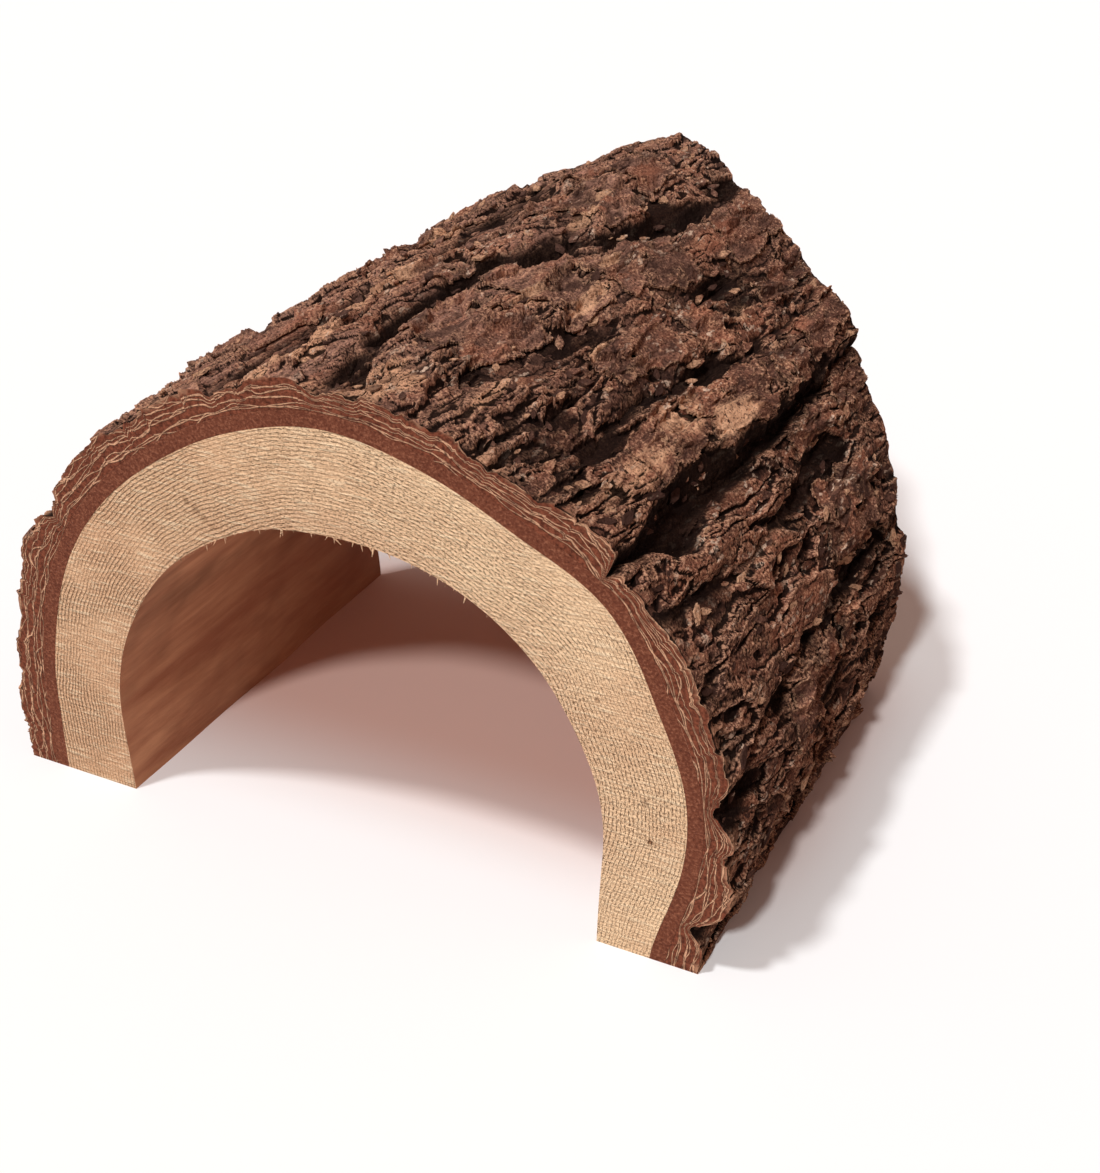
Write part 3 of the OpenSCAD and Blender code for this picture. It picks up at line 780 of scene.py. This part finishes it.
def relief_tree():
    """Weathers a smooth ridge: moves its top by the bark's heights and keeps what the finish needs."""
    tree, given = new_tree("bark_relief", {"Plate Relief": 1.0, "Scale Relief": 0.55},
                           ["Weathered Bark", "Sawn Bark"])
    sheet = kept(tree, "sheet", "FLOAT_VECTOR")
    levels = add_node(tree, "GeometryNodeGroup", {"Sheet": sheet}, node_tree=bark_levels).outputs
    broad = times(tree, levels["Broad"], given["Plate Relief"])
    scaly = times_plus(tree, ramp(tree, kept(tree, "smooth"), 0.9, 0.2), 0.6, 0.4)
    scaly = times(tree, scaly, given["Scale Relief"])
    total = times_plus(tree, levels["Fine"], scaly, broad)
    lift = times(tree, total, kept(tree, "relief"))
    least = number_of(tree, "SUBTRACT", least_weathered, kept(tree, "thickness"))
    shaped = keep(tree, given[0], "lift", number_of(tree, "MAXIMUM", lift, least))
    lift = kept(tree, "lift")
    around = output_of(tree, "GeometryNodeBlurAttribute", {0: lift, "Iterations": 12})
    shaped = keep(tree, shaped, "pit", number_of(tree, "SUBTRACT", around, lift))
    beside = output_of(tree, "GeometryNodeBlurAttribute", {0: lift, "Iterations": 3})
    shaped = keep(tree, shaped, "crease", number_of(tree, "SUBTRACT", beside, lift))
    shaped = keep(tree, shaped, "depth", number_of(tree, "SUBTRACT", kept(tree, "sunk"), lift))
    shaped = keep(tree, shaped, "tone", levels["Tone"])
    shaped = keep(tree, shaped, "rim", levels["Rim"])
    shaped = moved_out(tree, shaped, lift)
    shaped = output_of(tree, "GeometryNodeRealizeInstances", {0: shaped})
    bent = output_of(tree, "GeometryNodeInputMeshEdgeAngle")
    rounded = output_of(tree, "FunctionNodeCompare", {0: bent, 1: 0.6}, operation="LESS_THAN")
    shaped = output_of(tree, "GeometryNodeSetShadeSmooth", {0: shaped})
    shaped = output_of(tree, "GeometryNodeSetShadeSmooth", {0: shaped, 2: rounded}, domain="EDGE")
    shaped = painted(tree, shaped, given["Weathered Bark"])
    shaped = painted(tree, shaped, given["Sawn Bark"], kept(tree, "sawn", "BOOLEAN"))
    add_node(tree, "NodeGroupOutput", {0: shaped})
    return tree


def bark_material(name, dark, middle, red, pale):
    """Weathered bark: brown fibres, redder plates, paler broken rims and fresh places; a painted lighter
    left side, raised edges partly worn and partly painted highlight, and painted black shade in crevices.
    """
    made, tree, shader = new_material(name, 0.88)
    shader.inputs["Specular IOR Level"].default_value = 0.02
    place = place_times(tree, (1, 0.3, 1))
    mask, height = fibres(tree, place, 460.0, 2.4)
    grit = noise(tree, place_times(tree), 1600.0, 3.0, 0.7)
    clouds = noise(tree, place, 70.0)
    tone = stored(tree, "tone")
    sideways = coordinate(tree, place_times(tree), 0)
    # Painted light: bark towards the left side of the log is made lighter, as if more strongly lit.
    painted_light_on_left = times(tree, ramp(tree, sideways, 0.06, -0.01), 0.9)
    middle = mixed(tree, painted_light_on_left, middle, (0.66, 0.350, 0.250, 1))
    bark = mixed(tree, mask, dark, middle)
    bark = laid_over(tree, bark, ramp(tree, tone, 0.60, 0.15), 0.8, dark)
    ruddy = times(tree, ramp(tree, tone, 0.35, 0.75), ramp(tree, clouds, 0.35, 0.6))
    ruddy = number_of(tree, "MAXIMUM", ruddy, ramp(tree, stored(tree, "smooth"), 0.3, 0.8))
    bark = mixed(tree, ruddy, bark, red)
    broken = times(tree, stored(tree, "rim"), ramp(tree, grit, 0.42, 0.62))
    bark = laid_over(tree, bark, broken, 0.55, pale)
    bare = number_of(tree, "ADD", stored(tree, "fresh"), number_of(tree, "SUBTRACT", clouds, 0.5))
    bare = times_plus(tree, mask, 0.5, number_of(tree, "SUBTRACT", bare, 0.25))
    bare = times(tree, ramp(tree, bare, 0.2, 0.5), ramp(tree, tone, 0.10, 0.35))
    bark = laid_over(tree, bark, bare, 0.9, pale)
    flecks = ramp(tree, noise(tree, place_times(tree, (1, 0.45, 1)), 560.0, 2.0), 0.595, 0.655)
    flecks = times(tree, flecks, ramp(tree, clouds, 0.45, 0.58))
    bark = laid_over(tree, bark, flecks, 0.85, (0.80, 0.575, 0.425, 1))
    along = coordinate(tree, place_times(tree), 1)
    sawn_edge = times(tree, ramp(tree, along, -0.084, -0.092), ramp(tree, clouds, 0.48, 0.62))
    bark = laid_over(tree, bark, sawn_edge, 0.7, pale)
    layer_gap = 0.00042
    layers = times_plus(tree, stored(tree, "depth"), 2 * math.pi / layer_gap, times(tree, grit, 4.0))
    layers = ramp(tree, number_of(tree, "SINE", layers), 0.1, 0.9)
    bark = laid_over(tree, bark, layers, 0.3, dark)
    # Raised edges are paler: partly wear, partly a painted highlight where edges catch the light.
    worn_and_highlit_edges = times(tree, ramp(tree, stored(tree, "crease"), -0.00003, -0.00012), ramp(tree, grit, 0.42, 0.6))
    bark = laid_over(tree, bark, worn_and_highlit_edges, 0.65, (0.60, 0.325, 0.210, 1))
    bark = laid_over(tree, bark, ramp(tree, grit, 0.50, 0.34), 0.85, dark)
    crumbs = times(tree, ramp(tree, grit, 0.54, 0.66), ramp(tree, tone, 0.30, 0.60))
    bark = laid_over(tree, bark, crumbs, 0.6, pale)
    # Painted shade: bark sunk below its crest, in pits and in creases is darkened to near black, where shade
    # falls.
    sunk = ramp(tree, stored(tree, "depth"), 0.0012, 0.0033)
    painted_crevice_shade = number_of(tree, "MAXIMUM", sunk, ramp(tree, stored(tree, "pit"), 0.00002, 0.00024))
    painted_crevice_shade = number_of(tree, "MAXIMUM", painted_crevice_shade, ramp(tree, stored(tree, "crease"), 0.000015, 0.00009))
    bark = laid_over(tree, bark, painted_crevice_shade, 0.95, (0.010, 0.005, 0.004, 1))
    dress(tree, shader, bark, times_plus(tree, grit, 0.5, height), 0.0012)
    return made


def sawn_bark_material():
    """Sawn bark: red-brown layers in long lens cells, parted by thin pale lines that meet at the furrows."""
    made, tree, shader = new_material("sawn_bark", 0.85)
    face = place_times(tree)
    partings = []
    for number, (gaps, waves) in enumerate(((3.3, 48.0), (2.3, 64.0), (2.9, 85.0))):
        sway = noise(tree, vector_of(tree, "ADD", face, (number, 0, 0)), waves, 1.5)
        swayed = times_plus(tree, sway, 3.2, times(tree, stored(tree, "layer"), gaps))
        wave = number_of(tree, "SINE", times(tree, swayed, math.pi))
        partings.append(number_of(tree, "DIVIDE", number_of(tree, "ABSOLUTE", wave), gaps))
    parting = number_of(tree, "MINIMUM", number_of(tree, "MINIMUM", partings[0], partings[1]), partings[2])
    grains = noise(tree, face, 1000.0, 4.0, 0.7)
    bark = mixed(tree, ramp(tree, grains, 0.30, 0.70), (0.075, 0.019, 0.010, 1), (0.29, 0.088, 0.046, 1))
    dashes = noise(tree, face, 230.0, 2.0)
    line = number_of(tree, "SUBTRACT", parting, times(tree, number_of(tree, "SUBTRACT", dashes, 0.5), 0.14))
    line = times(tree, ramp(tree, line, 0.100, 0.020), ramp(tree, grains, 0.25, 0.5))
    rim = number_of(tree, "ADD", stored(tree, "layer"), times(tree, dashes, 0.7))
    line = number_of(tree, "MAXIMUM", line, times(tree, ramp(tree, rim, 1.22, 1.45), 0.45))
    bark = mixed(tree, line, bark, (0.80, 0.450, 0.272, 1))
    dress(tree, shader, bark, number_of(tree, "ADD", line, grains), 0.0007)
    return made


bark_levels = bark_levels_group()
bark_relief = relief_tree()
weathered_bark = bark_material("weathered_bark", (0.034, 0.017, 0.013, 1), (0.225, 0.099, 0.066, 1),
                               (0.300, 0.114, 0.068, 1), (0.74, 0.405, 0.240, 1))
sawn_bark = sawn_bark_material()
for number, node in enumerate(ridge_nodes):
    ridge = evaluated(ridge_mesh(number), bark_relief, weathered_bark=weathered_bark, sawn_bark=sawn_bark)
    finish_piece(ridge, node)


# Loose flakes. Thin scales of an outer layer still cling to the ridges, torn ragged, lifted at their rims
# and lying on the plates below, with small curled chips caught between them.
flake_groups = {"right_side_flakes": (0, 1, 2), "right_top_flakes": (3, 4, 5),
                "crown_flakes": (6, 7, 8), "left_side_flakes": (9, 10, 11)}
# Where they cling: ridge, from and to as shares of its length, from and to as shares of its width
flake_places = ((0, 0.44, 0.57, 0.21, 0.90), (1, 0.26, 0.56, 0.21, 0.97), (1, 0.57, 0.69, 0.21, 0.97),
                (2, 0.59, 0.85, 0.03, 0.90), (3, 0.59, 0.78, 0.10, 0.97), (3, 0.79, 1.00, 0.10, 0.90),
                (4, 0.18, 0.36, 0.21, 0.90), (4, 0.37, 0.61, 0.10, 0.97), (4, 0.62, 0.77, 0.03, 0.90),
                (4, 0.78, 1.00, 0.21, 0.97), (5, 0.30, 0.51, 0.10, 0.90), (5, 0.52, 0.64, 0.10, 0.97),
                (5, 0.79, 1.00, 0.21, 0.90), (6, 0.15, 0.32, 0.10, 0.97), (6, 0.33, 0.47, 0.10, 0.97),
                (6, 0.48, 0.70, 0.10, 0.90), (6, 0.80, 1.00, 0.03, 0.97), (7, 0.33, 0.42, 0.03, 0.90),
                (7, 0.60, 0.74, 0.03, 0.90), (7, 0.75, 0.87, 0.21, 0.90), (8, 0.14, 0.31, 0.03, 0.90),
                (8, 0.55, 0.70, 0.10, 0.90), (9, 0.74, 1.00, 0.10, 0.97), (10, 0.70, 1.00, 0.10, 0.90),
                (11, 0.64, 1.00, 0.10, 0.97))
flake_cell = 0.0004
chip_ground_cell = 0.003
whole_inset = 0.0032
bare_depth = 0.0014
curled_rim = 0.0013


def flake_ground(name, ridges):
    """Open sheets on the smooth ridges: one for each clinging flake, and whole ridges to strew chips on."""
    sheets = [(place, flake_cell, 0.0) for place in flake_places if place[0] in ridges]
    sheets += [((number, 0.02, 0.98, 0.05, 0.95), chip_ground_cell, 1.0) for number in ridges]
    points, faces, kept_there = [], [], {}
    count = 0
    for (number, near, far, low, high), cell, strewn in sheets:
        corner_share, corner_across = np.meshgrid((near, far), (low, high), indexing="ij")
        corners = ridge_surface(number, corner_share, corner_across)[0]
        rows = int(np.linalg.norm(corners[1, 0] - corners[0, 0]) / cell)
        cols = int(np.linalg.norm(corners[0, 1] - corners[0, 0]) / cell)
        shares = np.linspace(near, far, rows)
        share, across = np.meshgrid(shares, np.linspace(low, high, cols), indexing="ij")
        top, _, known = ridge_surface(number, share, across)
        row, col = np.meshgrid(np.arange(rows), np.arange(cols), indexing="ij")
        known["inset"] = cell * np.minimum(np.minimum(row, rows - 1 - row), np.minimum(col, cols - 1 - col))
        known["strewn"] = np.full(share.shape, strewn)
        at = count + np.arange(rows * cols).reshape(rows, cols)
        faces += [strip(at[r], at[r + 1])[:, ::-1] for r in range(rows - 1)]
        points.append(top.reshape(-1, 3))
        count += rows * cols
        for key, values in known.items():
            kept_there.setdefault(key, []).append(values.reshape(rows * cols, -1))
    mesh = bpy.data.meshes.new(name)
    mesh.from_pydata(np.concatenate(points).tolist(), [], np.concatenate(faces).tolist())
    for key, parts in kept_there.items():
        whole = np.concatenate(parts)
        give(mesh, key, whole if whole.shape[1] == 3 else whole[:, 0])
    return mesh


def without(tree, geometry, value, operation, limit, domain="POINT"):
    """Geometry without the points or faces where a number lies beyond a limit."""
    gone = output_of(tree, "FunctionNodeCompare", {0: value, 1: limit}, operation=operation)
    return output_of(tree, "GeometryNodeDeleteGeometry", {0: geometry, 1: gone}, domain=domain)


def thickened(tree, sheet, offset, weld):
    """Closed plate from an open sheet, with the seam round it welded."""
    inputs = {"Mesh": sheet, "Individual": False, **offset}
    raised = output_of(tree, "GeometryNodeExtrudeMesh", inputs, mode="FACES")
    under = output_of(tree, "GeometryNodeFlipFaces", {0: sheet})
    inputs = {"Geometry": joined(tree, raised, under), "Distance": weld}
    return output_of(tree, "GeometryNodeMergeByDistance", inputs)


def flake_tree():
    """Tears each sheet to a ragged flake with a thickness, and strews curled chips over the ridges."""
    tree, given = new_tree("loose_flakes", {
        "Thickness": 0.0006, "Raised": 0.0002, "Curl": 0.0005, "Tear": 0.010, "Chips": 30000.0,
        "Smallest Chip": 0.0012, "Largest Chip": 0.0042}, ["Loose Bark"])
    sheet = kept(tree, "sheet", "FLOAT_VECTOR")
    levels = add_node(tree, "GeometryNodeGroup", {"Sheet": sheet}, node_tree=bark_levels).outputs
    ground = times_plus(tree, levels["Fine"], 0.5, levels["Broad"])
    ground = times(tree, ground, kept(tree, "relief"))
    inputs = {0: given[0], 1: kept(tree, "strewn")}
    chip_ground, flakes = add_node(tree, "GeometryNodeSeparateGeometry", inputs, domain="FACE").outputs

    tear = noise(tree, vector_of(tree, "MULTIPLY", sheet, (1, 0.55, 1)), 170.0, 4.0, 0.6)
    tear = number_of(tree, "SUBTRACT", tear, 0.70)
    inset = number_of(tree, "MINIMUM", kept(tree, "inset"), whole_inset)
    left = times_plus(tree, tear, given["Tear"], inset)
    pocket = number_of(tree, "SUBTRACT", kept(tree, "sunk"), bare_depth)
    pocket = number_of(tree, "MAXIMUM", pocket, 0.0)
    left = times_plus(tree, pocket, -2.5, left)
    flakes = keep(tree, flakes, "left", left)
    left = kept(tree, "left")
    flakes = without(tree, flakes, left, "LESS_THAN", 0.0, "FACE")
    for _ in range(2):
        beside = add_node(tree, "GeometryNodeInputMeshVertexNeighbors").outputs
        pinched = number_of(tree, "SUBTRACT", beside[0], beside[1])
        flakes = without(tree, flakes, pinched, "GREATER_THAN", 1.5)
    corners = add_node(tree, "GeometryNodeInputMeshVertexNeighbors").outputs[1]
    flakes = without(tree, flakes, corners, "LESS_THAN", 0.5)
    torn_rim = ramp(tree, left, curled_rim, 0.0)
    curl = times_plus(tree, torn_rim, given["Curl"], given["Raised"])
    flakes = keep(tree, flakes, "tone", levels["Tone"])
    flakes = keep(tree, flakes, "rim", torn_rim)
    flakes = keep(tree, flakes, "depth", times(tree, kept(tree, "sunk"), 0.8))
    flakes = moved_out(tree, flakes, number_of(tree, "ADD", ground, curl))
    outward = vector_of(tree, "SCALE", kept(tree, "out", "FLOAT_VECTOR"), given["Thickness"])
    flakes = thickened(tree, flakes, {"Offset": outward, "Offset Scale": 1.0}, 0.000001)

    strewn = output_of(tree, "GeometryNodeDistributePointsOnFaces", {
        "Mesh": chip_ground, "Density": given["Chips"], "Seed": 6})
    strewn = moved_out(tree, strewn, ground)
    chip = output_of(tree, "GeometryNodeMeshGrid", {
        "Size X": 0.55, "Size Y": 1.0, "Vertices X": 4, "Vertices Y": 5})
    place = output_of(tree, "GeometryNodeInputPosition")
    along = coordinate(tree, place, 1)
    to_end = times(tree, along, along)
    bowl = times(tree, to_end, 0.3)
    taper = times(tree, times(tree, to_end, -3.0), coordinate(tree, place, 0))
    bent = output_of(tree, "ShaderNodeCombineXYZ", {0: taper, 2: bowl})
    ragged = vector_of(tree, "MULTIPLY", noise_vector(tree, place, 4.0), (0.6, 0.9, 0.12))
    chip = output_of(tree, "GeometryNodeSetPosition", {
        "Geometry": chip, "Offset": vector_of(tree, "ADD", bent, ragged)})
    chip = thickened(tree, chip, {"Offset Scale": 0.12}, 0.0001)
    upright = output_of(tree, "FunctionNodeAlignRotationToVector", {
        "Vector": kept(tree, "out", "FLOAT_VECTOR")}, axis="Z")
    lean = random_vector(tree, 3, (-0.12, -0.12, -0.9), (0.12, 0.12, 0.9))
    turned = add_node(tree, "FunctionNodeRotateRotation", {0: upright, 1: lean}, rotation_space="LOCAL")
    grown = random_number(tree, 9, given["Smallest Chip"], given["Largest Chip"])
    chips = output_of(tree, "GeometryNodeInstanceOnPoints", {
        "Points": strewn, "Instance": chip, "Rotation": turned.outputs[0], "Scale": grown})
    chance = random_number(tree, 12)
    chips = keep(tree, chips, "tone", chance, "INSTANCE")
    fresh = times(tree, number_of(tree, "POWER", chance, 3.0), 0.9)
    chips = keep(tree, chips, "fresh", fresh, "INSTANCE")
    real = output_of(tree, "GeometryNodeRealizeInstances", {0: joined(tree, flakes, chips)})
    add_node(tree, "NodeGroupOutput", {0: painted(tree, real, given["Loose Bark"])})
    return tree


loose_flakes = flake_tree()
loose_bark = bark_material("loose_bark", (0.045, 0.022, 0.017, 1), (0.285, 0.127, 0.085, 1),
                           (0.350, 0.136, 0.081, 1), (0.75, 0.425, 0.255, 1))
for node, ridges in flake_groups.items():
    sheets = flake_ground(node.replace("flakes", "loose_flakes"), ridges)
    finish_piece(evaluated(sheets, loose_flakes, loose_bark=loose_bark), node)


# Floor and light. A plain, matt white floor lies under the feet and runs on into an even white surround; a
# warm shade is painted on it inside the arch and beside the right foot.
# A high lamp to the left of the entrance and a lower one in front of it stand far off.
floor_reach = 4


def where_seen(tree):
    """1 for what the camera sees, straight or mirrored, and 0 for what only sheds light."""
    seen = add_node(tree, "ShaderNodeLightPath").outputs
    mirrored = number_of(tree, "ADD", seen["Is Glossy Ray"], seen["Is Transmission Ray"])
    return number_of(tree, "ADD", seen["Is Camera Ray"], mirrored)


floor_mesh = bpy.data.meshes.new("floor")
floor_signs = ((-1, -1), (1, -1), (1, 1), (-1, 1))
floor_corners = [(x * floor_reach, y * floor_reach, 0) for x, y in floor_signs]
floor_mesh.from_pydata(floor_corners, [], [(0, 1, 2, 3)])
floor_finish, floor_tree, floor_shader = new_material("white_floor", 0.95)
floor_x = coordinate(floor_tree, place_times(floor_tree), 0)
floor_y = coordinate(floor_tree, place_times(floor_tree), 1)
# Painted shade: a warm, darker patch on the floor under the arch and to the right of the log, seen by the
# camera only.
painted_shade_under_log = ramp(floor_tree, floor_x, -0.078, -0.058)
shade_edges = ((floor_x, 0.105, 0.070), (floor_y, -0.088, -0.040), (floor_y, 0.045, 0.010))
for across_floor, outside, inside in shade_edges:
    painted_shade_under_log = times(floor_tree, painted_shade_under_log, ramp(floor_tree, across_floor, outside, inside))
white_and_painted_shade = mixed(floor_tree, painted_shade_under_log, (0.93, 0.93, 0.925, 1), (0.71, 0.470, 0.400, 1))
floor_colour = mixed(floor_tree, where_seen(floor_tree), (0.55, 0.51, 0.49, 1), white_and_painted_shade)
floor_tree.links.new(floor_colour, floor_shader.inputs["Base Color"])
floor_mesh.materials.append(floor_finish)
floor = bpy.data.objects.new("floor", floor_mesh)
scene.collection.objects.link(floor)

world = bpy.data.worlds.new("studio")
world.use_nodes = True
sky = world.node_tree
surround = mixed(sky, where_seen(sky), (0.30, 0.198, 0.168, 1), (0.97, 0.97, 0.97, 1))
sky.links.new(surround, sky.nodes["Background"].inputs["Color"])
scene.world = world


def far_lamp(name, toward, strength, softness):
    """Even light that shines along a direction."""
    lamp = bpy.data.lights.new(name, "SUN")
    lamp.energy = strength
    lamp.angle = math.radians(softness)
    lamp.color = (0.97, 1, 1.02)
    made = bpy.data.objects.new(name, lamp)
    made.rotation_euler = Vector(toward).to_track_quat("-Z", "Y").to_euler()
    scene.collection.objects.link(made)


far_lamp("high_lamp", (0.22, 0.29, -0.83), 1.58, 6)
far_lamp("front_lamp", (-0.05, 0.87, -0.83), 1.92, 5)
